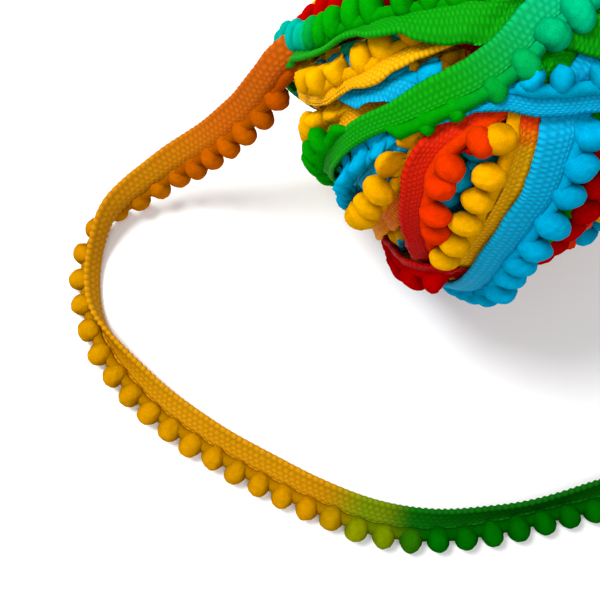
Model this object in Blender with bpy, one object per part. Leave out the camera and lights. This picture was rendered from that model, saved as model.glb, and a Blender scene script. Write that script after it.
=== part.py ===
"""Pompom fringe trim: a wound ball of narrow knitted tape edged with mini pompoms, one end loose.

Metres, +Z up. The ball rests on its small flat spot on Z = 0, under the middle of the ball.
The loose end leaves the ball's left side, drops to the surface and lies around its front.
"""
import math

import bmesh
import bpy
from mathutils import Vector

MM = 0.001

# The trim
TAPE_FLANGE = 1.4 * MM
TAPE_WEB = 4.0 * MM
TAPE_THICK = 1.2 * MM
POMPOM_DIAMETER = 5.0 * MM
POMPOM_PITCH = 6.3 * MM
FRINGE_STRAND = 0.8 * MM
PIECE_GAP = 0.3 * MM

# The wound ball
CORE_RADIUS = 37.0 * MM
WINDING_HALF_WIDTH = 7.0 * MM
BALL_CENTRE_HEIGHT = 41.5 * MM
MESH_LEVEL = 5
SMOOTHING_PASSES = 2

# Main windings, undermost first: the direction in degrees that each circle turns about,
# how far its plane sits off the ball's middle, and its lift over the core, both in mm.
WINDINGS = [
    {"name": "under_level", "azimuth": 0, "elevation": 90, "offset": -6, "lift": 4.8},
    {"name": "under_side", "azimuth": 30, "elevation": -20, "offset": 14, "lift": 4.8},
    {"name": "under_back", "azimuth": 50, "elevation": 40, "offset": 6, "lift": 5.3},
    {"name": "right_side", "azimuth": 5, "elevation": 25, "offset": 24, "lift": 4.8},
    {"name": "top_back", "azimuth": 70, "elevation": 30, "offset": 20, "lift": 5.3},
    {"name": "blue_left", "azimuth": 125, "elevation": 15, "offset": -4, "lift": 4.8},
    {"name": "yellow_corner", "azimuth": 140, "elevation": 0, "offset": 0, "lift": 5.3},
    {"name": "orange_front", "azimuth": 160, "elevation": -5, "offset": 0, "lift": 5.3},
    {"name": "yellow_front", "azimuth": 167, "elevation": 5, "offset": -5, "lift": 5.8},
    {"name": "red_right", "azimuth": -168, "elevation": 15, "offset": -12, "lift": 5.3},
    {"name": "blue_long", "azimuth": -176, "elevation": 23, "offset": -3, "lift": 6.8},
    {"name": "yellow_left", "azimuth": 96, "elevation": 12, "offset": 3, "lift": 5.3},
    {"name": "blue_across", "azimuth": 90, "elevation": 30, "offset": 0, "lift": 5.8},
    {"name": "green_top", "azimuth": 77, "elevation": 19, "offset": 7, "lift": 6.3},
    {"name": "green_long", "azimuth": 120, "elevation": 13, "offset": 0, "lift": 6.8},
]

# Where the winding is drawn in: under the loose end, and where the ball is flat at the lower
# left. Directions and reach are in degrees.
DRAWN_IN = [
    {"azimuth": 183, "elevation": -6, "reach": 36, "depth": 2.0 * MM},
    {"azimuth": -147, "elevation": -27, "reach": 62, "depth": 4.5 * MM},
]

# The loose end's route: where the tape meets its pompoms, in mm. The tape is folded along its
# length into a flange, in line with the pompoms, and a web. The leans of the two are in
# degrees: 0 points to the outside of the bend and -90 straight down.
ROUTE = [
    {"x": -45.6, "y": 0.2, "z": 42.0, "web": -166, "fringe": -125},
    {"x": -48.2, "y": -1.2, "z": 38.0, "web": -165, "fringe": -138},
    {"x": -51.5, "y": -2.6, "z": 33.0, "web": -163, "fringe": -145},
    {"x": -55.5, "y": -3.9, "z": 28.5, "web": -161, "fringe": -145},
    {"x": -60.0, "y": -5.1, "z": 23.5, "web": -158, "fringe": -142},
    {"x": -65.0, "y": -6.0, "z": 18.3, "web": -154, "fringe": -138},
    {"x": -70.5, "y": -7.3, "z": 13.6, "web": -148, "fringe": -130},
    {"x": -76.0, "y": -9.6, "z": 10.0, "web": -142, "fringe": -120},
    {"x": -81.5, "y": -12.6, "z": 7.6, "web": -138, "fringe": -106},
    {"x": -86.4, "y": -16.0, "z": 6.0, "web": -134, "fringe": -78},
    {"x": -90.2, "y": -20.4, "z": 4.2, "web": -131, "fringe": -36},
    {"x": -92.6, "y": -26.5, "z": 2.4, "web": -128, "fringe": 2},
    {"x": -93.2, "y": -34.0, "z": 1.6, "web": -124, "fringe": 16},
    {"x": -92.0, "y": -42.0, "z": 1.6, "web": -108, "fringe": 16},
    {"x": -88.4, "y": -50.5, "z": 1.6, "web": -70, "fringe": 16},
    {"x": -82.2, "y": -58.7, "z": 1.6, "web": -40, "fringe": 16},
    {"x": -73.5, "y": -67.0, "z": 1.6, "web": -30, "fringe": 16},
    {"x": -62.5, "y": -74.5, "z": 1.6, "web": -26, "fringe": 16},
    {"x": -50.0, "y": -81.5, "z": 1.6, "web": -24, "fringe": 16},
    {"x": -36.5, "y": -88.0, "z": 1.6, "web": -24, "fringe": 16},
    {"x": -22.0, "y": -93.4, "z": 1.6, "web": -28, "fringe": 16},
    {"x": -7.0, "y": -94.8, "z": 1.6, "web": -42, "fringe": 16},
    {"x": 8.0, "y": -92.9, "z": 1.6, "web": -60, "fringe": 16},
    {"x": 22.0, "y": -89.8, "z": 1.6, "web": -62, "fringe": 16},
    {"x": 36.0, "y": -86.6, "z": 1.6, "web": -52, "fringe": 16},
    {"x": 50.0, "y": -82.4, "z": 1.6, "web": -42, "fringe": 16},
]

TAPE_STEP = 5.7 * MM

# One pompom's share of the comb: how far along its pitch, and its swell from strand to full.
SWELL = [
    {"along": 0.11, "swell": 0.0},
    {"along": 0.19, "swell": 0.62},
    {"along": 0.34, "swell": 0.93},
    {"along": 0.50, "swell": 1.0},
    {"along": 0.66, "swell": 0.93},
    {"along": 0.81, "swell": 0.62},
    {"along": 0.89, "swell": 0.0},
]
COMB_SIDES = 8

MATERIALS = {
    "trim_ball": {"color": (0.10, 0.45, 0.08, 1.0), "roughness": 0.85},
    "trim_tape": {"color": (0.75, 0.32, 0.02, 1.0), "roughness": 0.80},
    "trim_pile": {"color": (0.85, 0.48, 0.02, 1.0), "roughness": 0.95},
}


def clear_scene():
    for old in list(bpy.data.objects):
        bpy.data.objects.remove(old)


def make_material(name):
    material = bpy.data.materials.new(name)
    material.use_nodes = True
    shader = material.node_tree.nodes["Principled BSDF"]
    shader.inputs["Base Color"].default_value = MATERIALS[name]["color"]
    shader.inputs["Roughness"].default_value = MATERIALS[name]["roughness"]
    return material


def make_object(name, mesh, material_name):
    bmesh.ops.recalc_face_normals(mesh, faces=mesh.faces)
    bmesh.ops.triangulate(mesh, faces=mesh.faces)
    data = bpy.data.meshes.new(name)
    mesh.to_mesh(data)
    mesh.free()
    data.materials.append(make_material(material_name))
    made = bpy.data.objects.new(name, data)
    bpy.context.scene.collection.objects.link(made)
    return made


def direction(azimuth, elevation):
    turn = math.radians(azimuth)
    rise = math.radians(elevation)
    return Vector((math.cos(rise) * math.cos(turn), math.cos(rise) * math.sin(turn), math.sin(rise)))


def ball_radius(ray):
    """The ball's radius along a ray: each winding is laid over those before it."""
    radius = CORE_RADIUS
    for winding in WINDINGS:
        pole = direction(winding["azimuth"], winding["elevation"])
        across = abs(CORE_RADIUS * ray.dot(pole) - winding["offset"] * MM) / WINDING_HALF_WIDTH
        if across < 1.0:
            crown = 1.0 - across * across * across
            height = CORE_RADIUS + winding["lift"] * MM * crown
            radius = max(radius, height) + 0.1 * (min(radius, height) - CORE_RADIUS)
    for spot in DRAWN_IN:
        middle = direction(spot["azimuth"], spot["elevation"])
        away = min(math.degrees(ray.angle(middle)) / spot["reach"], 1.0)
        radius -= spot["depth"] * (0.5 + 0.5 * math.cos(math.pi * away))
    return radius


def build_ball():
    mesh = bmesh.new()
    bmesh.ops.create_icosphere(mesh, subdivisions=MESH_LEVEL, radius=1.0)
    for vertex in mesh.verts:
        ray = vertex.co.normalized()
        vertex.co = ray * ball_radius(ray) + Vector((0.0, 0.0, BALL_CENTRE_HEIGHT))
    for _ in range(SMOOTHING_PASSES):
        bmesh.ops.smooth_vert(
            mesh, verts=mesh.verts, factor=0.5, use_axis_x=True, use_axis_y=True, use_axis_z=True
        )
    everything = mesh.verts[:] + mesh.edges[:] + mesh.faces[:]
    bmesh.ops.bisect_plane(
        mesh, geom=everything, dist=1e-6, plane_co=(0, 0, 0), plane_no=(0, 0, -1), clear_outer=True
    )
    rim = [edge for edge in mesh.edges if edge.is_boundary]
    bmesh.ops.contextual_create(mesh, geom=rim)
    return make_object("wound_ball", mesh, "trim_ball")


def spline(values, place):
    """Catmull-Rom value at a place counted in rows."""
    last = len(values) - 1
    row = min(int(place), last - 1)
    share = place - row
    before = values[max(row - 1, 0)]
    start = values[row]
    end = values[row + 1]
    after = values[min(row + 2, last)]
    slope_in = (end - before) / 2.0
    slope_out = (after - start) / 2.0
    square = share * share
    cube = square * share
    return (
        start * (2 * cube - 3 * square + 1)
        + slope_in * (cube - 2 * square + share)
        + end * (3 * square - 2 * cube)
        + slope_out * (cube - square)
    )


def route_frame(place):
    """Point, heading, web direction and fringe direction at a place along the route."""
    points = [Vector((row["x"], row["y"], row["z"])) * MM for row in ROUTE]
    place = max(0.0, min(place, len(points) - 1.0))
    point = spline(points, place)
    ahead = spline(points, min(place + 0.02, len(points) - 1.0))
    behind = spline(points, max(place - 0.02, 0.0))
    heading = (ahead - behind).normalized()
    outside = heading.cross(Vector((0, 0, 1))).normalized()
    rising = outside.cross(heading).normalized()

    def lean(angle):
        turn = math.radians(angle)
        return outside * math.cos(turn) + rising * math.sin(turn)

    web = lean(spline([row["web"] for row in ROUTE], place))
    fringe = lean(spline([row["fringe"] for row in ROUTE], place))
    return point, heading, web, fringe


def length_table():
    """Places along the route against the length run so far."""
    steps = 40 * (len(ROUTE) - 1)
    table = [(0.0, 0.0)]
    previous = route_frame(0.0)[0]
    for step in range(1, steps + 1):
        place = step / 40.0
        point = route_frame(place)[0]
        table.append((table[-1][0] + (point - previous).length, place))
        previous = point
    return table


def place_at(table, length):
    """The place on the route at a length along it."""
    for (low, low_place), (high, high_place) in zip(table, table[1:]):
        if length <= high:
            return low_place + (high_place - low_place) * (length - low) / (high - low)
    return table[-1][1]


def skin_rings(name, rings, material_name):
    """One closed body through rings of equal point count."""
    mesh = bmesh.new()
    loops = [[mesh.verts.new(point) for point in ring] for ring in rings]
    for near, far in zip(loops, loops[1:]):
        for index in range(len(near)):
            following = (index + 1) % len(near)
            mesh.faces.new((near[index], near[following], far[following], far[index]))
    mesh.faces.new(loops[0])
    mesh.faces.new(loops[-1])
    return make_object(name, mesh, material_name)


def build_tape(table):
    total = table[-1][0]
    count = int(total / TAPE_STEP)
    half = TAPE_THICK / 2.0
    rings = []
    for step in range(count + 1):
        point, heading, web, fringe = route_frame(place_at(table, total * step / count))
        joint = point - fringe * (PIECE_GAP / 2.0)
        fold = joint - fringe * TAPE_FLANGE
        edge = fold - web * TAPE_WEB
        flange_face = heading.cross(fringe) * half
        web_face = heading.cross(web) * half
        mitre = (flange_face + web_face) * (2.0 * half * half / (flange_face + web_face).length_squared)
        rings.append(
            [
                joint - flange_face,
                joint + flange_face,
                fold + mitre,
                edge + web_face,
                edge - web_face,
                fold - mitre,
            ]
        )
    return skin_rings("loose_tape", rings, "trim_tape")


def build_fringe(table):
    """The comb: a thin strand beside the tape that swells to a pompom at every pitch."""
    total = table[-1][0]
    pompoms = int(total / POMPOM_PITCH)
    rings = []
    for pompom in range(pompoms):
        for row in SWELL:
            length = (pompom + row["along"]) * POMPOM_PITCH
            point, heading, web, fringe = route_frame(place_at(table, length))
            radius = FRINGE_STRAND / 2.0 + row["swell"] * (POMPOM_DIAMETER - FRINGE_STRAND) / 2.0
            reach = TAPE_THICK / 2.0 + PIECE_GAP + radius
            centre = point + fringe * reach
            face = heading.cross(fringe)
            ring = []
            for side in range(COMB_SIDES):
                turn = 2.0 * math.pi * side / COMB_SIDES
                ring.append(centre + (fringe * math.cos(turn) + face * math.sin(turn)) * radius)
            rings.append(ring)
    return skin_rings("loose_fringe", rings, "trim_pile")


clear_scene()
build_ball()
ROUTE_TABLE = length_table()
build_tape(ROUTE_TABLE)
build_fringe(ROUTE_TABLE)
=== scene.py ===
"""The looks of the pompom fringe trim: its wound ball and its loose end. Metres, +Z up."""

import math
import random

import bmesh
import bpy
import numpy as np
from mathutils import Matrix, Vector
from mathutils.kdtree import KDTree


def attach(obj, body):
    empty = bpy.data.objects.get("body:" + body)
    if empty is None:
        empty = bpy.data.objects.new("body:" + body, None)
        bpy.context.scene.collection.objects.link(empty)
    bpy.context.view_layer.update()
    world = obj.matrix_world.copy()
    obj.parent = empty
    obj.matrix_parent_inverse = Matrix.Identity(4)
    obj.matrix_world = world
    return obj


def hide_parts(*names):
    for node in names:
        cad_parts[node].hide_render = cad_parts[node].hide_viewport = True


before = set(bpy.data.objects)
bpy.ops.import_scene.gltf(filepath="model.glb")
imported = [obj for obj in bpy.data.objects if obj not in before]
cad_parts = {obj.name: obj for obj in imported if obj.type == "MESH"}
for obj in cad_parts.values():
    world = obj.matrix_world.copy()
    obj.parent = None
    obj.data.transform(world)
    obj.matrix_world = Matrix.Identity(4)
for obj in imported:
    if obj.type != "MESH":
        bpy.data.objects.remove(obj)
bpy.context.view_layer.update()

MM = 0.001

# The trim, in mm. Its tape is a flange, which holds the pompoms, and a web. REACH is how far the
# middles of the pompoms stand off the tape, and POMPOM_REACH half a pompom's size that way.
FLANGE = 1.4
WEB = 4.0
TAPE_THICK = 1.1
POMPOM_RADIUS = 2.5
POMPOM_REACH = 3.1
PITCH = 6.3
REACH = 2.6
STITCH_ROW = 1.63
STITCH_COLUMN = 0.9
ROW_SLANT = 0.12
FINE_COLUMNS = 12

# The ball, in mm. It is drawn in where it is flat at the lower left, in degrees and mm. BUNCH
# is how close its pompoms crowd, as a share of their pitch. BALL_ROWS is how much finer its
# knit is. What is wound is pulled in beyond the SETTLE and EASE radii, by no more than the room.
BALL_CENTRE = np.array([0.0, 0.0, 41.5])
DRAWN_IN = {"azimuth": -147, "elevation": -27, "reach": 62, "depth": 4.5}
CORE_RADIUS = 33.0
FULL_RADIUS = 40.5
BUNCH = 0.83
BALL_ROWS = 1.5
SETTLE_RADIUS = 36.0
SETTLE_ROOM = 2.2
EASE_RADIUS = 41.5
EASE_ROOM = 3.4
LAYER_GAP = 0.35
NO_COVER = 99.0

# How a turn beds down on what is under it, in mm
TAPE_SPREAD = 3.0
BED_SPREAD = 2.5
BED_PROBE = 1.8
BED_LIFT = 1.6
BED_BELOW = 2.2
BED_ABOVE = 1.0
BED_SINK = 0.4
FLANGE_DROP = 1.2
FLANGE_RISE = 1.1
CLEARANCE = 0.1

# Heights above the floor, in mm: of anything, of a tape's middle and of a pile band's middle.
FLOOR_GAP = 0.05
TAPE_LOW = 0.7
BAND_LOW = 1.4

# Dye stations along the yarn, as shown on a screen from 0 to 255
DYES = [
    {"name": "red", "r": 172, "g": 0, "b": 0},
    {"name": "orange_red", "r": 214, "g": 43, "b": 0},
    {"name": "orange", "r": 214, "g": 106, "b": 0},
    {"name": "yellow", "r": 224, "g": 159, "b": 0},
    {"name": "lime", "r": 140, "g": 172, "b": 0},
    {"name": "green", "r": 3, "g": 142, "b": 3},
    {"name": "teal", "r": 0, "g": 168, "b": 112},
    {"name": "blue", "r": 0, "g": 154, "b": 198},
]

# The loose end's route: where the tape meets its pompoms, in mm, and the leans in degrees of
# the tape's web and of its flange and pompoms. 0 points to the outside of the bend, -90 down.
# The same points as in the CAD.
ROUTE = [
    {"x": -45.6, "y": 0.2, "z": 42.0, "web": -166, "fringe": -125},
    {"x": -48.2, "y": -1.2, "z": 38.0, "web": -165, "fringe": -138},
    {"x": -51.5, "y": -2.6, "z": 33.0, "web": -163, "fringe": -145},
    {"x": -55.5, "y": -3.9, "z": 28.5, "web": -161, "fringe": -145},
    {"x": -60.0, "y": -5.1, "z": 23.5, "web": -158, "fringe": -142},
    {"x": -65.0, "y": -6.0, "z": 18.3, "web": -154, "fringe": -138},
    {"x": -70.5, "y": -7.3, "z": 13.6, "web": -148, "fringe": -130},
    {"x": -76.0, "y": -9.6, "z": 10.0, "web": -142, "fringe": -120},
    {"x": -81.5, "y": -12.6, "z": 7.6, "web": -138, "fringe": -106},
    {"x": -86.4, "y": -16.0, "z": 6.0, "web": -134, "fringe": -78},
    {"x": -90.2, "y": -20.4, "z": 4.2, "web": -131, "fringe": -36},
    {"x": -92.6, "y": -26.5, "z": 2.4, "web": -128, "fringe": 2},
    {"x": -93.2, "y": -34.0, "z": 1.6, "web": -124, "fringe": 16},
    {"x": -92.0, "y": -42.0, "z": 1.6, "web": -108, "fringe": 16},
    {"x": -88.4, "y": -50.5, "z": 1.6, "web": -70, "fringe": 16},
    {"x": -82.2, "y": -58.7, "z": 1.6, "web": -40, "fringe": 16},
    {"x": -73.5, "y": -67.0, "z": 1.6, "web": -30, "fringe": 16},
    {"x": -62.5, "y": -74.5, "z": 1.6, "web": -26, "fringe": 16},
    {"x": -50.0, "y": -81.5, "z": 1.6, "web": -24, "fringe": 16},
    {"x": -36.5, "y": -88.0, "z": 1.6, "web": -24, "fringe": 16},
    {"x": -22.0, "y": -93.4, "z": 1.6, "web": -28, "fringe": 16},
    {"x": -7.0, "y": -94.8, "z": 1.6, "web": -42, "fringe": 16},
    {"x": 8.0, "y": -92.9, "z": 1.6, "web": -60, "fringe": 16},
    {"x": 22.0, "y": -89.8, "z": 1.6, "web": -62, "fringe": 16},
    {"x": 36.0, "y": -86.6, "z": 1.6, "web": -52, "fringe": 16},
    {"x": 50.0, "y": -82.4, "z": 1.6, "web": -42, "fringe": 16},
]

# The loose end's dye and how deep it is, by the length run in mm.
LOOSE_DYE = [
    {"at": 0, "tape": 1.7, "pompom": 1.6, "shade": 1.0},
    {"at": 20, "tape": 2.25, "pompom": 1.95, "shade": 1.0},
    {"at": 45, "tape": 2.6, "pompom": 2.4, "shade": 0.95},
    {"at": 70, "tape": 2.7, "pompom": 2.65, "shade": 0.95},
    {"at": 88, "tape": 2.8, "pompom": 3.0, "shade": 1.0},
    {"at": 110, "tape": 3.0, "pompom": 3.0, "shade": 1.0},
    {"at": 158, "tape": 3.0, "pompom": 3.0, "shade": 1.0},
    {"at": 172, "tape": 3.7, "pompom": 3.6, "shade": 0.85},
    {"at": 186, "tape": 4.8, "pompom": 4.7, "shade": 0.65},
    {"at": 194, "tape": 5.0, "pompom": 5.0, "shade": 0.6},
    {"at": 300, "tape": 5.1, "pompom": 5.1, "shade": 0.5},
]

# Where the tape meets its pompoms on the ball, before the loose end's route, in mm.
LEAVING = [
    {"x": -31.0, "y": 4.0, "z": 53.0},
    {"x": -36.5, "y": 3.2, "z": 51.0},
    {"x": -40.8, "y": 2.2, "z": 48.4},
    {"x": -43.7, "y": 1.2, "z": 45.2},
]

# How much darker the loose end's dyes are, for red, green and blue.
LOOSE_TINT = np.array([0.68, 0.64, 0.8])

# The turns that show on the ball, undermost first. Each row of "way" is a direction from the
# ball's middle, azimuth and elevation in degrees, where tape and pompoms meet. "side" is 1
# where the pompoms are on the left of the way and -1 on the right. "roll" lifts the tape's
# free edge, in degrees, and "web" is the width that lies flat, in mm. "widths" are pairs of
# the share of the way run and the share of the web that shows. The dyes run from the way's
# start to its end, later on where "late" is over 1, or are given by pairs of share and dye.
# "twist" says between which shares of the way the trim turns over, so that its pompoms change
# sides, and "tuck" how far they are pulled in under the tape, in mm. "bunch" is how close the
# pompoms crowd, as a share of their pitch, "sizes" are pairs of share and size, and "lift"
# are pairs of share and how far the trim stands off, in mm.
TURNS = [
    {"name": "back_yellow", "side": 1, "roll": 5, "web": 3.8, "tape": (3.0, 3.0),
     "pompom": (3.0, 3.0),
     "way": [(168, -30), (158, -5), (152, 20), (140, 45), (100, 60), (50, 56)]},
    {"name": "back_blue", "side": -1, "roll": 5, "web": 3.8, "tape": (7.0, 7.0),
     "pompom": (7.0, 7.0),
     "way": [(150, -40), (135, -15), (120, 8), (98, 28), (68, 40), (30, 40)]},
    {"name": "back_orange", "side": 1, "roll": 5, "web": 3.8, "tape": (1.2, 2.2),
     "pompom": (1.4, 2.4),
     "way": [(20, -30), (10, -5), (0, 18), (-14, 38), (-50, 50)]},
    {"name": "green_fold", "side": 1, "roll": 20, "web": 3.0, "tape": (5.0, 5.0),
     "pompom": (5.0, 5.0),
     "way": [(-158, -14), (-154, 2), (-151, 16), (-149, 26), (-140, 36), (-122, 42), (-98, 40)]},
    {"name": "green_right", "side": -1, "roll": 5, "web": 3.0, "tape": (5.0, 5.0),
     "pompom": (5.0, 5.0),
     "way": [(-93, -16), (-89, -4), (-87, 8), (-84, 20), (-79, 29), (-70, 38)]},
    {"name": "red_right", "side": 1, "roll": 10, "web": 3.6, "tape": (0.0, 0.2),
     "pompom": (0.0, 0.3),
     "way": [(-84, -16), (-78, -4), (-75, 6), (-73, 14), (-70, 24), (-66, 33), (-60, 42),
             (-48, 50)]},
    {"name": "teal_under", "side": 1, "roll": 0, "web": 4.0, "tape": (6.8, 6.5),
     "pompom": (6.9, 6.6),
     "way": [(-112, 0), (-110, 20), (-108, 38), (-100, 54)]},
    {"name": "red_back", "side": 1, "roll": 5, "web": 3.8, "tape": (0.2, 0.0),
     "pompom": (0.3, 0.0),
     "way": [(166, -4), (170, 16), (172, 29), (175, 41), (178, 53), (-166, 66), (-120, 74)]},
    {"name": "yellow_clump", "side": 1, "roll": 25, "web": 2.0, "tape": (3.0, 2.4),
     "pompom": (3.0, 3.0),
     "way": [(-160, -6), (-157, 10), (-155, 22), (-153, 30), (-151, 37), (-146, 44),
             (-132, 52)]},
    {"name": "blue_cluster", "side": -1, "roll": 25, "web": 3.0, "tape": (7.0, 6.8),
     "pompom": (7.0, 6.9),
     "way": [(-137, -8), (-136, 5), (-136, 18), (-135, 28), (-132, 37), (-124, 48)]},
    {"name": "blue_left", "side": 1, "roll": 10, "web": 3.0, "tape": (7.0, 7.0),
     "pompom": (7.0, 6.9),
     "way": [(-140, -22), (-138, -8), (-138, 2), (-138, 13), (-137, 23), (-135, 32), (-133, 39),
             (-130, 45), (-118, 55)]},
    {"name": "yellow_corner", "side": 1, "roll": 15, "web": 3.0, "tape": (2.9, 1.4),
     "pompom": (3.0, 2.5),
     "way": [(-133, -30), (-132, -14), (-129, 2), (-127, 13), (-126, 23), (-125, 32), (-125, 38),
             (-124, 44), (-123, 50), (-118, 60)]},
    {"name": "red_under", "side": -1, "roll": 12, "web": 3.0, "tape": (0.0, 0.0),
     "pompom": (0.3, 0.3), "sizes": [(0, 0.35)], "widths": [(0.2, 1.0), (0.38, 0.0)],
     "way": [(-107, -12), (-112, 2), (-116, 16), (-118, 26), (-120, 33), (-121, 39), (-119, 45),
             (-112, 54), (-96, 62)]},
    {"name": "orange_front", "side": -1, "roll": 48, "web": 3.4, "tape": (0.0, 0.7),
     "pompom": (1.1, 1.3), "sizes": [(0, 0.9)],
     "way": [(-103, -12), (-106, -3), (-109, 5), (-113, 16), (-117, 26), (-119, 33), (-121, 39),
             (-120, 44), (-118, 48), (-114, 52), (-108, 57), (-96, 64)]},
    {"name": "yellow_low", "side": 1, "roll": 34, "web": 3.8, "tape": (3.0, 3.0),
     "pompom": (3.0, 3.0),
     "way": [(-106, -14), (-101, -1), (-98, 10), (-95, 20), (-94, 28), (-93, 35), (-94, 40),
             (-95, 46), (-92, 56)]},
    {"name": "yellow_mid", "side": 1, "roll": 10, "web": 4.0,
     "tape": [(0.0, 3.0), (0.72, 2.9), (0.79, 1.3), (0.85, 1.2), (0.92, 5.0)],
     "pompom": [(0.0, 3.0), (0.84, 2.6), (0.92, 5.0)], "sizes": [(0, 0.93)],
     "way": [(-108, -8), (-105, 5), (-103, 15), (-102, 22), (-101, 30), (-100, 37), (-99, 43),
             (-99, 49), (-99, 54), (-99, 61), (-88, 70)]},
    {"name": "red_bottom", "side": -1, "roll": 0, "web": 0.8, "tape": (0.0, 0.0),
     "pompom": (0.0, 0.2), "bunch": 1.05,
     "way": [(110, -80), (-165, -70), (-136, -50), (-122, -30), (-117, -11), (-111, 0),
             (-105, 5), (-98, 4), (-90, -5), (-80, -20), (-62, -45), (-20, -68)]},
    {"name": "blue_long", "side": -1, "roll": 6, "web": 3.6, "tape": (7.0, 7.0),
     "pompom": (7.0, 7.0),
     "way": [(-97, -14), (-94, -2), (-93, 8), (-92, 17), (-90, 24), (-88, 31), (-85, 37),
             (-83, 43), (-81, 49), (-76, 57), (-60, 63)]},
    {"name": "blue_across", "side": 1, "roll": 4, "web": 3.6, "tape": (7.0, 6.9),
     "pompom": (7.0, 6.7), "widths": [(0.2, 0.1), (0.36, 1.0), (0.6, 1.0), (0.7, 0.25)],
     "sizes": [(0.5, 1.0), (0.65, 0.75)],
     "way": [(-170, 12), (-164, 27), (-160, 34), (-157, 38), (-151, 44), (-145, 49), (-137, 52),
             (-128, 55), (-117, 58), (-106, 60), (-94, 60), (-81, 60), (-68, 59)]},
    {"name": "yellow_left", "side": 1, "roll": 8, "web": 4.0, "tape": (3.0, 3.0),
     "pompom": (3.0, 3.0), "widths": [(0.6, 0.08), (0.78, 1.0)],
     "bunch": 0.72,
     "way": [(168, -14), (176, 1), (-174, 13), (-165, 23), (-160, 30), (-158, 37), (-155, 44),
             (-154, 52), (-153, 58), (-150, 65), (-136, 75)]},
    {"name": "green_top", "side": 1, "roll": 4, "web": 4.8, "tape": (5.2, 5.0),
     "pompom": [(0.24, 6.4), (0.3, 6.0), (0.36, 5.2), (1.0, 4.95)],
     "widths": [(0.28, 0.45), (0.4, 0.2), (0.52, 0.15), (0.64, 1.0)],
     "bunch": 0.66, "lift": [(0.26, 1.0), (0.34, 2.8), (0.42, 3.6), (0.58, 3.6), (0.7, 0.0)],
     "way": [(170, -8), (173, 7), (-179, 22), (-175, 29), (-172, 35), (-170, 42), (-167, 49),
             (-164, 56), (-158, 64), (-148, 72), (-110, 80), (-46, 72)]},
    {"name": "green_long", "side": -1, "roll": 5, "web": 3.1, "tape": (5.0, 6.2),
     "pompom": (5.0, 6.3), "late": 4, "twist": (0.34, 0.5), "tuck": 1.3,
     "widths": [(0.3, 0.5), (0.45, 0.6), (0.6, 1.0)],
     "sizes": [(0.36, 0.9), (0.45, 0.6), (0.66, 0.66), (0.78, 0.85), (0.88, 1.0)],
     "way": [(-147, -8), (-146, 5), (-145, 17), (-143, 28), (-140, 36), (-134, 44), (-127, 52),
             (-118, 59), (-107, 67), (-88, 76), (-30, 76)]},
]

# The turns underneath, which fill the ball: how many, and how far their planes stray, in mm.
UNDER_TURNS = 12
UNDER_STRAY = 15.0

# Towards where the ball is mostly seen from; its pompoms there are finest.
TOWARDS_VIEW = np.array([-0.22, -0.45, 0.87])

SHELL_POINTS = 20000
STEP_SAMPLE = 1.0
LOOSE_STEP = 0.3
GOLDEN_ANGLE = 2.39996
SOFT_SWELL = 1.7
BAND_RADIUS = 1.75
BAND_REACH = 1.35
BAND_SIDES = 6
POMPOMS_A_PIECE = 120
LUMPS = [
    {"frequency": 1.7, "depth": 0.035},
    {"frequency": 3.1, "depth": 0.025},
    {"frequency": 6.5, "depth": 0.018},
]

# The camera and the lights, in metres, degrees and watts
CAMERA = {"place": (-0.040, -0.080, 0.196), "tilt": 12, "lens": 46.8, "sensor": 36.0}
LIGHTS = [
    {"name": "key", "place": (-0.30, 0.14, 0.52), "target": (-0.01, -0.02, 0.03),
     "size": 0.30, "power": 4.2},
    {"name": "fill", "place": (0.06, -0.30, 0.66), "target": (0, -0.02, 0.02),
     "size": 0.50, "power": 1.9},
]
WORLD_STRENGTH = 0.38
FLOOR_SIZE = 3.0
FLOOR_DROP = 0.0002

rng = random.Random(7)


# ---------------- dyes

def stations_along(value, share):
    """Dye stations at shares of the way: a start and an end, or pairs of share and station."""
    pairs = value if isinstance(value, list) else [(0.0, value[0]), (1.0, value[1])]
    return np.interp(share, *np.array(pairs).T)


def dye_colour(stations):
    """Linear colours at an array of dye stations, with broad bands and short changes."""
    table = np.array([[row["r"], row["g"], row["b"]] for row in DYES], float) / 255.0
    linear = np.where(table <= 0.04045, table / 12.92, ((table + 0.055) / 1.055) ** 2.4)
    place = np.clip(np.asarray(stations, float), 0.0, len(DYES) - 1.001)
    low = place.astype(int)
    share = np.clip((place - low - 0.15) / 0.7, 0.0, 1.0)
    share = (share * share * (3.0 - 2.0 * share))[..., None]
    return linear[low] * (1.0 - share) + linear[low + 1] * share


# ---------------- meshes

def new_piece(name, points, faces, material, attributes):
    data = bpy.data.meshes.new(name)
    data.from_pydata((np.asarray(points) * MM).tolist(), [], faces)
    for key, values in attributes.items():
        kind = "FLOAT_COLOR" if key == "dye" else "FLOAT_VECTOR"
        layer = data.attributes.new(key, kind, "POINT")
        if kind == "FLOAT_COLOR":
            values = np.concatenate([values, np.ones((len(values), 1))], 1)
            layer.data.foreach_set("color", values.astype(np.float32).ravel())
        else:
            layer.data.foreach_set("vector", values.astype(np.float32).ravel())
    data.polygons.foreach_set("use_smooth", [True] * len(data.polygons))
    data.materials.append(material)
    data.update()
    made = bpy.data.objects.new(name, data)
    bpy.context.scene.collection.objects.link(made)
    return made


def unit(vectors):
    return vectors / np.maximum(np.linalg.norm(vectors, axis=-1, keepdims=True), 1e-9)


def grounded(points):
    """Stands what would reach below the floor on it."""
    return np.concatenate([points[:, :2], np.maximum(points[:, 2:], FLOOR_GAP)], 1)


def unpressed(points):
    """The press of what nothing lies on."""
    return points


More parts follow.
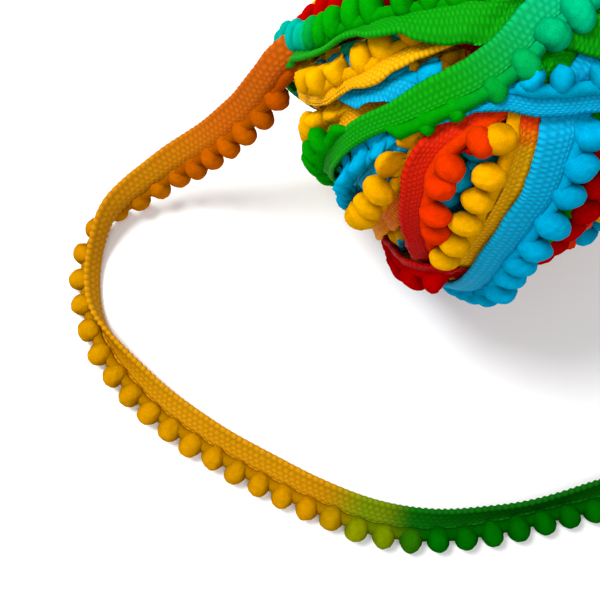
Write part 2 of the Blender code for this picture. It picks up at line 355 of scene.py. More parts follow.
class Strip:
    """A growing mesh of closed strips, tubes or pompoms with their dyes; the pompoms' dyes also
    carry their painted shade.
    """

    def __init__(self):
        self.points = []
        self.faces = []
        self.dye = []
        self.stitch = []
        self.count = 0

    def add(self, points, faces, dye, stitch):
        self.points.append(points)
        self.faces.extend([tuple(i + self.count for i in face) for face in faces])
        self.dye.append(dye)
        self.stitch.append(stitch)
        self.count += len(points)

    def reshape(self, change):
        self.points = [change(points) for points in self.points]

    def piece(self, name, material):
        attributes = {"dye": np.concatenate(self.dye), "stitch": np.concatenate(self.stitch)}
        return new_piece(name, np.concatenate(self.points), self.faces, material, attributes)


def ring_faces(rings, sides):
    """The faces of a tube of rings, closed at both ends."""
    faces = []
    for ring in range(rings - 1):
        for side in range(sides):
            following = (side + 1) % sides
            low = ring * sides
            faces.append((low + side, low + following, low + sides + following, low + sides + side))
    faces.append(tuple(range(sides))[::-1])
    faces.append(tuple((rings - 1) * sides + side for side in range(sides)))
    return faces


def add_tape(strip, edge, fold, joint, along, dye, columns, wide, seed, press=unpressed):
    """Knitted tape through its free edge, fold and joint, with ribbed rows and a selvedge."""
    heading = unit(np.gradient(joint, axis=0))
    across = np.linspace(0.0, 1.0, columns)[None, :, None]
    bend = 2.0 * fold - (edge + joint) / 2.0
    point = (
        (1 - across) ** 2 * edge[:, None]
        + 2 * across * (1 - across) * bend[:, None]
        + across ** 2 * joint[:, None]
    )
    run = unit(
        -2 * (1 - across) * edge[:, None]
        + 2 * (1 - 2 * across) * bend[:, None]
        + 2 * across * joint[:, None]
    )
    face = unit(np.cross(heading[:, None], run))
    wide = wide * across[..., 0]
    stagger = 0.5 * np.floor(wide / STITCH_COLUMN + 0.5)
    row = along[:, None] / STITCH_ROW + ROW_SLANT * wide + stagger
    fine_knit = columns > FINE_COLUMNS
    rib = 0.5 + 0.5 * np.cos(2 * np.pi * row) if fine_knit else np.full(row.shape, 0.5)
    selvedge = np.exp(-(((across[..., 0] - 0.04) / 0.05) ** 2))
    groove = np.exp(-(((across[..., 0] - 0.76) / 0.06) ** 2))
    half = TAPE_THICK / 2.0 - 0.06 + 0.07 * rib + 0.12 * selvedge - 0.1 * groove
    if fine_knit:
        bead = 0.5 + 0.5 * np.cos(2 * np.pi * wide / STITCH_COLUMN)
        half = half + 0.2 * rib * bead - 0.08
    top = point + face * half[..., None]
    bottom = point - face * half[..., None]
    ragged = np.array([rng.uniform(-0.09, 0.09) for _ in along])[:, None]
    scallop = (0.16 * rib[:, :1] - 0.08 if fine_knit else ragged)[..., None]
    top[:, :1] -= run[:, :1] * scallop
    bottom[:, :1] -= run[:, :1] * scallop
    rim = point[:, :1] - run[:, :1] * (TAPE_THICK * 0.42 + scallop)
    seam = point[:, -1:] + run[:, -1:] * TAPE_THICK * 0.35
    ring = np.concatenate([rim, top, seam, bottom[:, ::-1]], 1)
    sides = ring.shape[1]
    width = np.concatenate([[[0.0]], wide, wide[:, -1:], wide[:, ::-1]], 1)
    stitch = np.zeros(ring.shape)
    stitch[..., 0] = width
    stitch[..., 1] = along[:, None]
    stitch[..., 2] = seed * 10.0
    colours = np.repeat(dye[:, None], sides, 1)
    strip.add(
        press(ring.reshape(-1, 3)),
        ring_faces(len(ring), sides),
        colours.reshape(-1, 3),
        stitch.reshape(-1, 3),
    )


def add_band(strip, joint, outward, along, dye, starts, fullness=1.0, press=unpressed):
    """The pile that runs along the tape's edge and joins the pompoms, thinner between them, painted
    darker than its dye as shade in the notches under and between the pompoms.
    """
    heading = unit(np.gradient(joint, axis=0))
    outward = unit(outward - heading * (outward * heading).sum(1, keepdims=True))
    face = np.cross(heading, outward)
    turn = np.linspace(0, 2 * np.pi, BAND_SIDES, endpoint=False)[None, :, None]
    pulse = 0.5 + 0.5 * np.cos(2 * np.pi * (along - starts) / PITCH)
    radius = (BAND_RADIUS * (0.84 + 0.16 * pulse) * np.maximum(fullness, 0.1))[:, None, None]
    centre = joint + outward * BAND_REACH * np.reshape(fullness, (-1, 1))
    spoke = outward[:, None] * np.cos(turn) + face[:, None] * np.sin(turn)
    ring = centre[:, None] + spoke * radius
    points = press(ring.reshape(-1, 3))
    # Painted shade: the band is 0.85 of its dye, for the shade in the notches under and between the
    # pompoms.
    strip.add(
        points,
        ring_faces(len(ring), BAND_SIDES),
        np.repeat(dye[:, None] * 0.85, BAND_SIDES, 1).reshape(-1, 3),
        points,
    )


def icosphere(level):
    mesh = bmesh.new()
    bmesh.ops.create_icosphere(mesh, subdivisions=level, radius=1.0)
    points = np.array([vertex.co[:] for vertex in mesh.verts])
    faces = [tuple(vertex.index for vertex in face.verts) for face in mesh.faces]
    mesh.free()
    return points, faces


BALLS = {level: icosphere(level) for level in (3, 4)}


def add_pompom(strip, centre, along, outward, rising, dye, size, level, press=unpressed):
    """A cut-pile pompom: a lumpy, slightly squashed ball, with painted shade towards its ends and
    on its side towards the tape. size is its three half sizes in mm.
    """
    points, faces = BALLS[level]
    lump = np.ones(len(points))
    for row in LUMPS:
        for _ in range(3):
            wave = np.array([rng.gauss(0, 1) for _ in range(3)])
            wave *= row["frequency"] / np.linalg.norm(wave)
            lump += row["depth"] / 1.7 * np.sin(points @ wave * 2.0 + rng.uniform(0, 6.28))
    shaped = points * lump[:, None]
    placed = (
        centre
        + shaped[:, :1] * along * size[0]
        + shaped[:, 1:2] * outward * size[1]
        + shaped[:, 2:] * rising * size[2]
    )
    shade = 1.0 + rng.uniform(-0.07, 0.05)
    # Painted shade: darker towards the pompom's ends along the strip, where its neighbours press on
    # it, and on its side towards the tape.
    painted_crowd_shade = 1.0 - 0.5 * np.abs(points[:, :1]) ** 3 - 0.2 * np.clip(-points[:, 1:2], 0, 1) ** 2
    colours = dye[None] * shade * painted_crowd_shade
    stitch = np.repeat(np.array([[rng.uniform(0, 50), 0.0, 0.0]]), len(points), 0) + shaped * 2.5
    strip.add(press(placed), faces, colours, stitch)


# ---------------- the ball

class Shell:
    """How high the winding stands so far, at points all over the ball."""

    def __init__(self):
        index = np.arange(SHELL_POINTS) + 0.5
        polar = np.arccos(1 - 2 * index / SHELL_POINTS)
        turn = np.pi * (1 + 5 ** 0.5) * index
        self.rays = np.stack(
            [np.cos(turn) * np.sin(polar), np.sin(turn) * np.sin(polar), np.cos(polar)], 1
        )
        self.height = np.full(SHELL_POINTS, CORE_RADIUS)
        self.tree = KDTree(SHELL_POINTS)
        for number, ray in enumerate(self.rays):
            self.tree.insert(Vector(ray), number)
        self.tree.balance()
        self.undersides = []
        self.around = np.array(
            [[found[1] for found in self.tree.find_n(Vector(ray), 9)] for ray in self.rays]
        )

    def near(self, ray, reach):
        return [found[1] for found in self.tree.find_range(Vector(ray), reach / FULL_RADIUS)]

    def top(self, rays, reach):
        return np.array([self.height[self.near(ray, reach)].max() for ray in rays])

    def lay(self, rays, heights, reach, underside=None):
        for ray, height in zip(rays, heights):
            spots = self.near(ray, reach)
            self.height[spots] = np.maximum(self.height[spots], height)
            if underside is not None:
                underside[spots] = np.minimum(underside[spots], height - TAPE_THICK)

    def settle(self):
        """Pulls in what is wound so far, as the next turns are wound tight over it."""
        self.height = settled(self.height)
        self.undersides = [np.where(low < NO_COVER, settled(low), low) for low in self.undersides]

    def ceilings(self):
        """For each turn, how low it must lie under what is wound after it, all over the ball."""
        lowest = np.full(SHELL_POINTS, NO_COVER)
        layers = np.zeros(SHELL_POINTS)
        found = []
        for underside in reversed(self.undersides):
            found.append((lowest - LAYER_GAP * layers)[self.around].min(1))
            lowest = np.minimum(lowest, underside)
            layers += underside < NO_COVER
        return found[::-1]


def drawn_in(radius, start, room):
    """Pulls radii beyond the start in, so that they rise by no more than the room."""
    over = np.maximum(radius - start, 0.0)
    return np.where(radius > start, start + room * (1 - np.exp(-over / room)), radius)


def settled(radius):
    return drawn_in(radius, SETTLE_RADIUS, SETTLE_ROOM)


def eased(radius):
    """Presses the winding in where many turns cross."""
    return drawn_in(radius, EASE_RADIUS, EASE_ROOM)


def soften(values, spread):
    """A rolling maximum, then a rounded average, along a closed turn."""
    peak = values.copy()
    for shift in (-3, -2, -1, 1, 2, 3):
        peak = np.maximum(peak, np.roll(values, shift))
    reach = int(3 * spread)
    weights = np.exp(-0.5 * (np.arange(-reach, reach + 1) / spread) ** 2)
    weights /= weights.sum()
    return sum(w * np.roll(peak, s) for w, s in zip(weights, range(-reach, reach + 1)))


def ray_of(azimuth, elevation):
    turn, rise = math.radians(azimuth), math.radians(elevation)
    level = math.cos(rise)
    return np.array([level * math.cos(turn), level * math.sin(turn), math.sin(rise)])


def periodic_spline(places, values, wanted):
    """Smooth closed curve of values at places (in turns of 2 pi), read at the wanted places."""
    result = np.zeros(len(wanted))
    stretched = np.concatenate([places - 2 * np.pi, places, places + 2 * np.pi])
    tripled = np.tile(values, 3)
    slopes = np.gradient(tripled, stretched)
    for number, place in enumerate(wanted):
        row = int(np.searchsorted(stretched, place, side="right")) - 1
        span = stretched[row + 1] - stretched[row]
        share = (place - stretched[row]) / span
        square, cube = share ** 2, share ** 3
        result[number] = (
            tripled[row] * (2 * cube - 3 * square + 1)
            + slopes[row] * span * (cube - 2 * square + share)
            + tripled[row + 1] * (3 * square - 2 * cube)
            + slopes[row + 1] * span * (cube - square)
        )
    return result


def turn_rays(turn):
    """Rays along one whole turn and how much of its shown part has run, 0 to 1 and back to 0."""
    way = np.array([ray_of(*row) for row in turn["way"]])
    pole = np.cross(way[:-1], way[1:]).sum(0)
    pole /= np.linalg.norm(pole)
    first = unit(way[0] - pole * (way[0] @ pole))
    second = np.cross(pole, first)
    angles = np.unwrap(np.arctan2(way @ second, way @ first))
    strays = way @ pole
    strays = strays / np.sqrt(1 - strays ** 2)
    gap = 2 * np.pi - (angles[-1] - angles[0])
    back = angles[-1] + gap * np.array([0.25, 0.5, 0.75])
    ends = strays[-1], (strays[0] + strays[-1]) * 0.5, strays[0]
    back_strays = np.array(ends) * 0.6 + np.array([rng.uniform(-0.12, 0.12) for _ in range(3)])
    places = np.concatenate([angles, back])
    values = np.concatenate([strays, back_strays])
    steps = int(2 * np.pi * FULL_RADIUS / STEP_SAMPLE)
    start = angles[-1] + gap * 0.5
    wanted = start - 2 * np.pi + np.arange(steps) * 2 * np.pi / steps
    stray = periodic_spline(places, values, wanted)
    rays = unit(
        first * np.cos(wanted)[:, None] + second * np.sin(wanted)[:, None] + pole * stray[:, None]
    )
    shown = np.clip((wanted - angles[0]) / (angles[-1] - angles[0]), 0, 1)
    outside = np.maximum(angles[0] - wanted, wanted - angles[-1]) / (gap * 0.5)
    shown = np.where(outside > 0, shown + (0.5 - shown) * np.clip(outside, 0, 1), shown)
    front = np.clip(1.0 - np.maximum(outside, 0.0) * 4.0, 0.0, 1.0)
    return rays, shown, front


def bedded(heights, joint):
    """Where pompoms lie: on what is under them, but near the tape that holds them."""
    return np.clip(heights, joint - BED_BELOW, joint + BED_ABOVE) - BED_SINK


def lay_turn(shell, turn, laid):
    """Lays one turn over what is already wound, and presses down the pompoms under it."""
    rays, shown, front = turn_rays(turn)
    heading = unit(np.roll(rays, -1, 0) - np.roll(rays, 1, 0))
    side = np.cross(rays, heading) * turn["side"]
    web = np.interp(shown, *np.array(turn.get("widths", [(0.0, 1.0)])).T) * turn["web"]

    def aside(offset):
        return unit(rays * FULL_RADIUS + side * np.reshape(offset, (-1, 1)))

    joint = soften(shell.top(rays, 1.2), TAPE_SPREAD)
    fold = soften(shell.top(aside(-FLANGE), 1.2), TAPE_SPREAD)
    edge = soften(shell.top(aside(-FLANGE - web), 1.3), TAPE_SPREAD)
    middle = soften(shell.top(aside(-FLANGE - web / 2), 1.5), TAPE_SPREAD)
    over = np.clip(middle - (fold + edge) / 2, 0.0, 0.8)
    fold, edge = fold + over, edge + over
    bed = soften(shell.top(aside(REACH + 0.5), BED_PROBE), BED_SPREAD)
    joint = np.maximum(joint, bed - BED_LIFT)
    bed = bedded(bed, joint)
    joint = np.maximum(joint, fold - FLANGE_DROP)
    fold = np.maximum(fold, joint - FLANGE_RISE)
    rise = web * np.sin(math.radians(turn["roll"])) * front
    sway = np.arange(len(rays)) * 2 * np.pi / len(rays)
    waver = sum(
        0.22 * np.sin(count * sway + rng.uniform(0, 2 * np.pi)) for count in (5, 9, 14, 22)
    )
    edge = np.maximum(edge, fold + rise) + np.abs(waver)
    edge = np.clip(edge, fold - np.minimum(web * 0.85, 1.2), fold + web * 0.85)
    flange_run = np.sqrt(FLANGE ** 2 - np.clip(fold - joint, -1.5, 1.5) ** 2)
    web_run = np.sqrt(web ** 2 - (edge - fold) ** 2)
    fold_ray = unit(rays * FULL_RADIUS - side * flange_run[:, None])
    edge_ray = unit(rays * FULL_RADIUS - side * (flange_run + web_run)[:, None])
    tuck = turn.get("tuck", 0.0)
    bed_ray = aside(REACH - tuck)
    bed = bed - tuck
    turn_from, turn_to = turn.get("twist", (-2.0, -1.0))
    twisted = np.clip((turn_to - shown) / (turn_to - turn_from), 0.0, 1.0)
    if twisted.any():
        other_ray = aside(-FLANGE - web - REACH * 0.7)
        other = bedded(soften(shell.top(other_ray, BED_PROBE), BED_SPREAD), joint)
        bed_ray = np.where(twisted[:, None] > 0.5, other_ray, bed_ray)
        bed = np.where(twisted > 0.5, other, bed)
    raised = np.interp(shown, *np.array(turn.get("lift", [(0.0, 0.0)])).T) * front
    joint, fold, edge, bed = (eased(line) + raised for line in (joint, fold, edge, bed))
    lift = TAPE_THICK / 2 + CLEARANCE
    lines = {
        "joint": rays * (joint + lift)[:, None],
        "fold": fold_ray * (fold + lift)[:, None],
        "edge": edge_ray * (edge + lift)[:, None],
        "bed": bed_ray * bed[:, None],
    }
    lines["root"] = lines["edge"] * twisted[:, None] + lines["joint"] * (1 - twisted[:, None])
    thick = TAPE_THICK + CLEARANCE
    middle_ray = unit(fold_ray + edge_ray)
    underside = np.full(SHELL_POINTS, NO_COVER)
    shell.lay(rays, joint + thick, 1.1, underside)
    shell.lay(fold_ray, fold + thick, 1.3, underside)
    shell.lay(middle_ray, (fold + edge) / 2 + thick, 1.5, underside)
    shell.lay(edge_ray, edge + thick, 1.1, underside)
    shell.undersides.append(underside)
    pitch = PITCH * turn.get("bunch", BUNCH)
    count = int(len(rays) * STEP_SAMPLE / pitch)
    jitter = rng.uniform(0, pitch)
    for number in range(count):
        at = int((number * pitch + jitter) / STEP_SAMPLE) % len(rays)
        if 0.0 < twisted[at] < 1.0:
            continue
        ball = {
            "ray": bed_ray[at],
            "heading": heading[at],
            "side": side[at],
            "base": float(bed[at]),
            "order": len(shell.undersides) - 1,
            "shown": float(shown[at] ** turn.get("late", 1)),
            "scale": float(np.interp(shown[at], *np.array(turn.get("sizes", [(0, 1)])).T)),
            "front": float(front[at]),
            "turn": turn,
        }
        laid.append(ball)
        shell.lay([bed_ray[at]], [bed[at] + SOFT_SWELL], 2.3)
    return lines, shown ** turn.get("late", 1), jitter, (2 * twisted - 1) ** 2


def under_turns():
    """The turns underneath, their poles spread evenly over the ball."""
    turns = []
    for number in range(UNDER_TURNS):
        height = 1 - (number + 0.5) / UNDER_TURNS
        turn = GOLDEN_ANGLE * number
        level = math.sqrt(1 - height * height)
        pole = np.array([level * math.cos(turn), level * math.sin(turn), height])
        first = unit(np.cross(pole, [0.3, 0.5, 0.8]))
        second = np.cross(pole, first)
        stray = rng.uniform(-UNDER_STRAY, UNDER_STRAY) / FULL_RADIUS
        way = []
        for step in range(7):
            angle = math.radians(30 * step)
            ray = unit(first * math.cos(angle) + second * math.sin(angle) + pole * stray)
            way.append((math.degrees(math.atan2(ray[1], ray[0])), math.degrees(math.asin(ray[2]))))
        start = rng.choice([0.2, 1.2, 2.9, 3.0, 5.0, 5.2, 6.2, 7.0, 7.0])
        turns.append(
            {
                "name": "under_%d" % number,
                "side": rng.choice([-1, 1]),
                "roll": 0,
                "web": 3.6,
                "tape": (start, start),
                "pompom": (start, start),
                "way": way,
            }
        )
    return turns


def presser(shell, ceiling, base):
    """Presses points in under whatever is wound over them, down to a base of their own."""

    def press(points):
        offset = points - BALL_CENTRE
        radius = np.linalg.norm(offset, axis=1)
        rays = offset / radius[:, None]
        found = [shell.tree.find_n(Vector(ray), 4) for ray in rays]
        spots = np.array([[spot[1] for spot in nearest] for nearest in found])
        away = np.array([[spot[2] for spot in nearest] for nearest in found])
        weights = 1.0 / (away + 0.004)
        limits = np.minimum(ceiling[spots], radius[:, None] + 0.6)
        limit = (limits * weights).sum(1) / weights.sum(1)
        limit = np.maximum(limit, base)
        return rays * np.minimum(radius, limit)[:, None] + BALL_CENTRE

    return press


def is_shown(turn):
    return not turn["name"].startswith("under")


def lay_all(shell):
    """Lays every turn. Gives the pompoms laid, and the lines of each turn."""
    laid, winding = [], []
    for turn in under_turns():
        winding.append((turn, *lay_turn(shell, turn, laid)))
    shell.settle()
    for turn, lines, *_ in winding:
        for key, line in lines.items():
            radius = np.linalg.norm(line, axis=1)
            lines[key] = line * (settled(radius) / radius)[:, None]
    for ball in laid:
        ball["base"] = float(settled(ball["base"]))
    for turn in TURNS:
        winding.append((turn, *lay_turn(shell, turn, laid)))
    return laid, winding


def build_turns(shell, winding, tapes, bands):
    """The tapes and pile bands of all turns."""
    ceilings = shell.ceilings()
    for order, (turn, lines, shown, jitter, fullness) in enumerate(winding):
        closed = [
            np.concatenate([lines[key], lines[key][:1]]) + BALL_CENTRE
            for key in ("edge", "fold", "joint")
        ]
        for line in closed:
            line[:, 2] = np.maximum(line[:, 2], TAPE_LOW)
        part = np.append(shown, shown[0])
        bunch = turn.get("bunch", BUNCH)
        along = np.arange(len(part)) * STEP_SAMPLE / bunch
        tape_dye = dye_colour(stations_along(turn["tape"], part))
        ball_dye = dye_colour(stations_along(turn["pompom"], shown))
        columns = 7 if is_shown(turn) else 4
        press = presser(shell, ceilings[order], CORE_RADIUS)
        add_tape(
            tapes[order % len(tapes)], *closed, along * BALL_ROWS, tape_dye, columns,
            FLANGE + turn["web"], rng.uniform(0, 1), press,
        )
        root = lines["root"] + BALL_CENTRE
        root[:, 2] = np.maximum(root[:, 2], BAND_LOW)
        bed = lines["bed"] + unit(lines["bed"]) * 1.8 + BALL_CENTRE
        add_band(
            bands, root, bed - root, along[:-1], ball_dye, jitter / bunch, fullness * 0.85, press
        )


def build_pompoms(shell, laid):
    """The pompoms of all turns that are not quite buried, some in each piece."""
    strips = []
    ceilings = shell.ceilings()
    for ball in laid:
        free = 2 * POMPOM_RADIUS * rng.uniform(0.9, 1.0) * ball["scale"]
        ceiling = ceilings[ball["order"]]
        around = [ceiling[spot] for spot in shell.near(ball["ray"], 2.6)]
        if max(around) < ball["base"] + 1.4:
            continue
        turn = ball["turn"]
        covered = min(around) < ball["base"] + free
        press = presser(shell, ceiling, ball["base"] - 1.2) if covered else unpressed
        centre = ball["ray"] * (ball["base"] + free / 2) + BALL_CENTRE
        centre[2] = max(centre[2], free * 0.5)
        dye = dye_colour(stations_along(turn["pompom"], ball["shown"]))
        facing = ball["ray"] @ TOWARDS_VIEW > 0.4
        level = 4 if is_shown(turn) and not covered and facing else 3
        if not strips or len(strips[-1].points) >= POMPOMS_A_PIECE:
            strips.append(Strip())
        size = (
            PITCH * turn.get("bunch", BUNCH) * rng.uniform(0.49, 0.53) * ball["scale"],
            POMPOM_REACH * rng.uniform(1.0, 1.1) * ball["scale"],
            free / 2,
        )
        add_pompom(
            strips[-1], centre, ball["heading"], ball["side"], ball["ray"], dye, size, level, press
        )
    return strips


def build_core():
    """The wound yarn that fills the ball under its turns."""
    points, faces = icosphere(4)
    core = Strip()
    lumps = 1 + 0.02 * np.sin(points @ np.array([9.0, 4.0, 2.0]))
    core.add(
        points * lumps[:, None] * (CORE_RADIUS + 0.5) + BALL_CENTRE,
        faces,
        np.repeat(dye_colour([5.6]), len(points), 0),
        points * 30.0,
    )
    return core


def flattened(points):
    """Draws the ball in where it is flat."""
    offset = points - BALL_CENTRE
    radius = np.linalg.norm(offset, axis=1, keepdims=True)
    middle = ray_of(DRAWN_IN["azimuth"], DRAWN_IN["elevation"])
    away = np.degrees(np.arccos(np.clip(offset @ middle / radius[:, 0], -1, 1)))[:, None]
    share = 0.5 + 0.5 * np.cos(np.pi * np.minimum(away / DRAWN_IN["reach"], 1.0))
    moved = offset * (1.0 - DRAWN_IN["depth"] * share / radius) + BALL_CENTRE
    return grounded(moved)


def build_ball(tape_material, pile_material):
    """All pieces of the ball, with the stretch that leaves it."""
    shell = Shell()
    laid, winding = lay_all(shell)
    tapes, bands = [Strip(), Strip()], Strip()
    build_turns(shell, winding, tapes, bands)
    pompoms, core = build_pompoms(shell, laid), build_core()
    for strip in (*tapes, bands, *pompoms, core):
        strip.reshape(flattened)
    add_leaving(tapes[0], bands)
    pieces = [bands.piece("ball_pile_band", pile_material)]
    for number, strip in enumerate(tapes):
        pieces.append(strip.piece("ball_tape_%d" % number, tape_material))
    for number, strip in enumerate(pompoms):
        pieces.append(strip.piece("ball_pompoms_%02d" % number, pile_material))
    pieces.append(core.piece("ball_core", pile_material))
    return pieces


# ---------------- the loose end

def open_spline(values, wanted):
    """Smooth curve through values, read at the wanted row numbers."""
    values = np.asarray(values, float)
    last = len(values) - 1
    row = np.clip(wanted.astype(int), 0, last - 1)
    share = wanted - row
    start, end = values[row], values[row + 1]
    slope_in = (end - values[np.maximum(row - 1, 0)]) / 2
    slope_out = (values[np.minimum(row + 2, last)] - start) / 2
    square, cube = share ** 2, share ** 3
    return (
        start * (2 * cube - 3 * square + 1)
        + slope_in * (cube - 2 * square + share)
        + end * (3 * square - 2 * cube)
        + slope_out * (cube - square)
    )


def add_leaving(tape, pile):
    """The stretch that joins the winding to the loose end, over the ball's left side."""
    _, point, _, web, fringe = route_lines()
    away = np.array([(row["x"], row["y"], row["z"]) for row in LEAVING], float)
    ways = np.concatenate([away, point[:1]])
    place = np.linspace(0, len(ways) - 1, 60)
    joint = np.stack([open_spline(line, place) for line in ways.T], 1)
    heading = unit(np.gradient(joint, axis=0))
    along = np.concatenate([[0], np.cumsum(np.linalg.norm(np.diff(joint, axis=0), axis=1))])

    def square(side):
        return unit(side[None] - heading * (heading @ side)[:, None])

    fold = joint - square(fringe[0]) * FLANGE
    edge = fold - square(web[0]) * WEB
    dye = dye_colour(np.full(len(joint), LOOSE_DYE[0]["tape"])) * LOOSE_TINT
    add_tape(tape, edge, fold, joint, along, dye, 9, FLANGE + WEB, 0.5)
    dye = dye_colour(np.full(len(joint), LOOSE_DYE[0]["pompom"])) * LOOSE_TINT
    add_band(pile, joint, square(fringe[0]), along, dye, along[-1] - PITCH / 2)


def route_lines():
    """The loose end's joint line at even steps, with its length and section directions."""
    dense = np.linspace(0, len(ROUTE) - 1, 4000)
    path = np.stack([open_spline([row[key] for row in ROUTE], dense) for key in "xyz"], 1)
    run = np.concatenate([[0], np.cumsum(np.linalg.norm(np.diff(path, axis=0), axis=1))])
    along = np.arange(0, run[-1], LOOSE_STEP)
    place = np.interp(along, run, dense)
    point = np.stack([open_spline([row[key] for row in ROUTE], place) for key in "xyz"], 1)
    heading = unit(np.gradient(point, axis=0))
    outside = unit(np.cross(heading, [0, 0, 1.0]))
    rising = unit(np.cross(outside, heading))

    def lean(key, waver=0.0):
        angle = open_spline([row[key] for row in ROUTE], place)
        angle = np.radians(angle + waver * np.sin(along / 6.0) * np.sin(along / 17.0 + 1.0))
        return outside * np.cos(angle)[:, None] + rising * np.sin(angle)[:, None]

    return along, point, heading, lean("web", 5.0), lean("fringe")


def build_loose_end(tape_material, pile_material):
    """The loose end's tape and fringe, and the line along its middle, in metres."""
    along, point, heading, web, fringe = route_lines()

    def dye_row(key):
        return np.interp(along, [row["at"] for row in LOOSE_DYE], [row[key] for row in LOOSE_DYE])

    fold = point - fringe * FLANGE
    edge = fold - web * WEB
    tape, pile = Strip(), Strip()
    shade = dye_row("shade")[:, None]
    tape_dye = dye_colour(dye_row("tape")) * LOOSE_TINT * shade
    add_tape(tape, edge, fold, point, along, tape_dye, 19, FLANGE + WEB, 0.0)
    dyes = dye_colour(dye_row("pompom")) * LOOSE_TINT * shade
    # Painted shade: the loose end's band is darkened by a further 0.8.
    add_band(pile, point[::2], fringe[::2], along[::2], dyes[::2] * 0.8, PITCH / 2, 1.05)
    for number in range(int(along[-1] / PITCH)):
        at = min(int((number + 0.5) * PITCH / LOOSE_STEP), len(along) - 1)
        size = (
            POMPOM_RADIUS * rng.uniform(1.08, 1.16),
            POMPOM_REACH * rng.uniform(0.94, 1.0),
            POMPOM_RADIUS * rng.uniform(0.98, 1.06),
        )
        centre = point[at] + fringe[at] * (REACH + rng.uniform(-0.1, 0.15))
        centre[2] = max(centre[2], size[2] * 0.97)
        rising = np.cross(heading[at], fringe[at])
        add_pompom(pile, centre, heading[at], fringe[at], rising, dyes[at], size, 4)
    for strip in (tape, pile):
        strip.reshape(grounded)
    tape_piece = tape.piece("loose_end_tape", tape_material)
    fringe_piece = pile.piece("loose_end_fringe", pile_material)
    middle = (edge + point) / 2 * 0.5 + fold * 0.5
    return tape_piece, fringe_piece, middle[::10] * MM


# ---------------- materials

def node(tree, kind, **settings):
    made = tree.nodes.new(kind)
    for key, value in settings.items():
        setattr(made, key, value)
    return made


def maths(tree, operation, first, second=None):
    made = node(tree, "ShaderNodeMath", operation=operation)
    for socket, value in zip(made.inputs, (first, second)):
        if value is None:
            continue
        if isinstance(value, (int, float)):
            socket.default_value = value
        else:
            tree.links.new(value, socket)
    return made.outputs[0]


def remap(tree, value, low, high, to_low, to_high):
    made = node(tree, "ShaderNodeMapRange")
    tree.links.new(value, made.inputs["Value"])
    limits = {"From Min": low, "From Max": high, "To Min": to_low, "To Max": to_high}
    for key, number in limits.items():
        made.inputs[key].default_value = number
    return made.outputs["Result"]


def cloth_material(name, roughness, specular):
    material = bpy.data.materials.new(name)
    material.use_nodes = True
    tree = material.node_tree
    shader = tree.nodes["Principled BSDF"]
    shader.inputs["Roughness"].default_value = roughness
    shader.inputs["Specular IOR Level"].default_value = specular
    dye = node(tree, "ShaderNodeAttribute", attribute_name="dye")
    stitch = node(tree, "ShaderNodeAttribute", attribute_name="stitch")
    return material, tree, shader, dye.outputs["Color"], stitch.outputs["Vector"]


def noise(tree, vector, scale, detail=2.0):
    made = node(tree, "ShaderNodeTexNoise")
    tree.links.new(vector, made.inputs["Vector"])
    made.inputs["Scale"].default_value = scale
    made.inputs["Detail"].default_value = detail
    return made.outputs[0]


def cosine(tree, phase, low):
    """A cosine of a phase in whole turns, from low to 1."""
    turned = maths(tree, "MULTIPLY", phase, 2 * math.pi)
    return remap(tree, maths(tree, "COSINE", turned), -1, 1, low, 1)


def add_bump(tree, shader, height, strength, distance):
    bump = node(tree, "ShaderNodeBump")
    bump.inputs["Strength"].default_value = strength
    bump.inputs["Distance"].default_value = distance
    tree.links.new(height, bump.inputs["Height"])
    tree.links.new(bump.outputs[0], shader.inputs["Normal"])


def tint(tree, shader, dye, first, second):
    """Dye times two amounts into the base colour."""
    scale = node(tree, "ShaderNodeVectorMath", operation="SCALE")
    tree.links.new(dye, scale.inputs[0])
    tree.links.new(maths(tree, "MULTIPLY", first, second), scale.inputs["Scale"])
    tree.links.new(scale.outputs[0], shader.inputs["Base Color"])


def make_pile():
    """Velvety cut pile: soft, with a fine broken nap."""
    material, tree, shader, dye, stitch = cloth_material("cut_pile", 0.95, 0.0)
    nap = noise(tree, stitch, 4.5, 3.0)
    blotch = noise(tree, stitch, 0.9)
    # The pompoms' dye attribute already holds their painted shade where they crowd together.
    tint(
        tree, shader, dye,
        remap(tree, nap, 0.3, 0.7, 0.84, 1.08),
        remap(tree, blotch, 0.3, 0.7, 0.9, 1.06),
    )
    add_bump(tree, shader, nap, 0.5, 0.00025)
    return material


def make_tape():
    """Knitted tape: cross rows of small shiny stitches, with painted shade between them and painted
    light on their tops.
    """
    material, tree, shader, dye, stitch = cloth_material("knitted_tape", 0.7, 0.05)
    split = node(tree, "ShaderNodeSeparateXYZ")
    tree.links.new(stitch, split.inputs[0])
    across, along = split.outputs["X"], split.outputs["Y"]
    column = maths(tree, "MULTIPLY", across, 1.0 / STITCH_COLUMN)
    slant = maths(tree, "MULTIPLY", across, ROW_SLANT)
    row = maths(tree, "ADD", maths(tree, "MULTIPLY", along, 1.0 / STITCH_ROW), slant)
    stagger = maths(tree, "FLOOR", maths(tree, "ADD", column, 0.5))
    row = maths(tree, "ADD", row, maths(tree, "MULTIPLY", stagger, 0.5))
    wander = remap(tree, noise(tree, stitch, 0.7), 0.3, 0.7, -0.12, 0.12)
    row = maths(tree, "ADD", row, wander)
    stitches = maths(tree, "MULTIPLY", cosine(tree, row, 0), cosine(tree, column, 0.15))
    raised = maths(tree, "POWER", stitches, 0.6)
    fibre = noise(tree, stitch, 6.0)
    # Painted shade and painted light: the colour runs from 0.72 of the dye between the stitches to
    # 1.1 on their raised tops.
    tint(
        tree, shader, dye,
        remap(tree, raised, 0.0, 1.0, 0.72, 1.1),
        remap(tree, fibre, 0.3, 0.7, 0.9, 1.08),
    )
    add_bump(tree, shader, raised, 0.7, 0.0002)
    return material


# ---------------- the studio

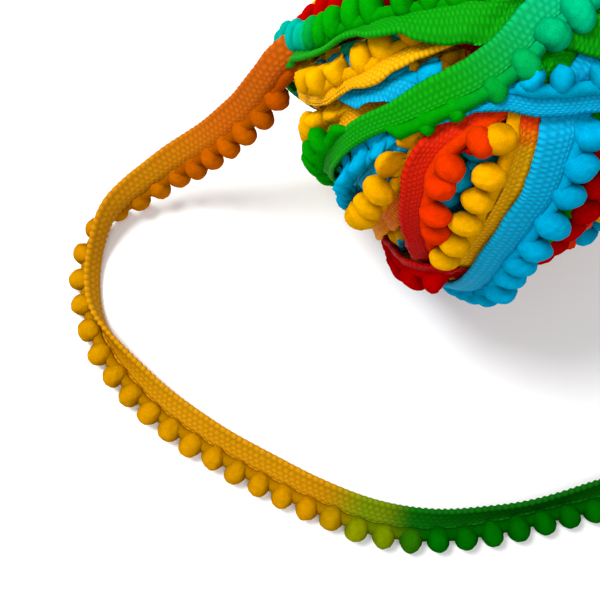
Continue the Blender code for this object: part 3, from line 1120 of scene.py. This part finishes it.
def make_camera():
    data = bpy.data.cameras.new("camera")
    data.sensor_width = CAMERA["sensor"]
    data.lens = CAMERA["lens"]
    data.clip_start = 0.01
    data.clip_end = 10.0
    made = bpy.data.objects.new("camera", data)
    made.location = CAMERA["place"]
    made.rotation_euler = (math.radians(CAMERA["tilt"]), 0, 0)
    bpy.context.scene.collection.objects.link(made)
    bpy.context.scene.camera = made


def make_light(name, place, target, size, power):
    data = bpy.data.lights.new(name, "AREA")
    data.shape = "DISK"
    data.size = size
    data.energy = power
    made = bpy.data.objects.new(name, data)
    made.location = place
    aim = Vector(target) - Vector(place)
    made.rotation_euler = aim.to_track_quat("-Z", "Y").to_euler()
    bpy.context.scene.collection.objects.link(made)


def make_studio():
    world = bpy.data.worlds.new("studio")
    world.use_nodes = True
    background = world.node_tree.nodes["Background"]
    background.inputs["Color"].default_value = (1, 1, 1, 1)
    background.inputs["Strength"].default_value = WORLD_STRENGTH
    bpy.context.scene.world = world
    for light in LIGHTS:
        make_light(**light)
    material = bpy.data.materials.new("pale_floor")
    material.use_nodes = True
    shader = material.node_tree.nodes["Principled BSDF"]
    shader.inputs["Base Color"].default_value = (0.96, 0.96, 0.96, 1)
    shader.inputs["Roughness"].default_value = 0.8
    shader.inputs["Specular IOR Level"].default_value = 0.1
    mesh = bmesh.new()
    bmesh.ops.create_grid(mesh, x_segments=1, y_segments=1, size=FLOOR_SIZE)
    data = bpy.data.meshes.new("floor")
    mesh.to_mesh(data)
    mesh.free()
    data.materials.append(material)
    floor = bpy.data.objects.new("floor", data)
    floor.location = (0, 0, -FLOOR_DROP)
    bpy.context.scene.collection.objects.link(floor)
    bpy.context.scene.view_settings.view_transform = "Standard"


# ---------------- everything

make_camera()
TAPE_CLOTH = make_tape()
PILE_CLOTH = make_pile()
TAPE_PIECE, FRINGE_PIECE, TAPE_PATH = build_loose_end(TAPE_CLOTH, PILE_CLOTH)
for piece, cad_node, record_slot in (
    (TAPE_PIECE, "loose_tape", "trim_tape"),
    (FRINGE_PIECE, "loose_fringe", "trim_pile"),
):
    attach(piece, "root")
    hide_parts(cad_node)
for piece in build_ball(TAPE_CLOTH, PILE_CLOTH):
    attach(piece, "root")
    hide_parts("wound_ball")
make_studio()
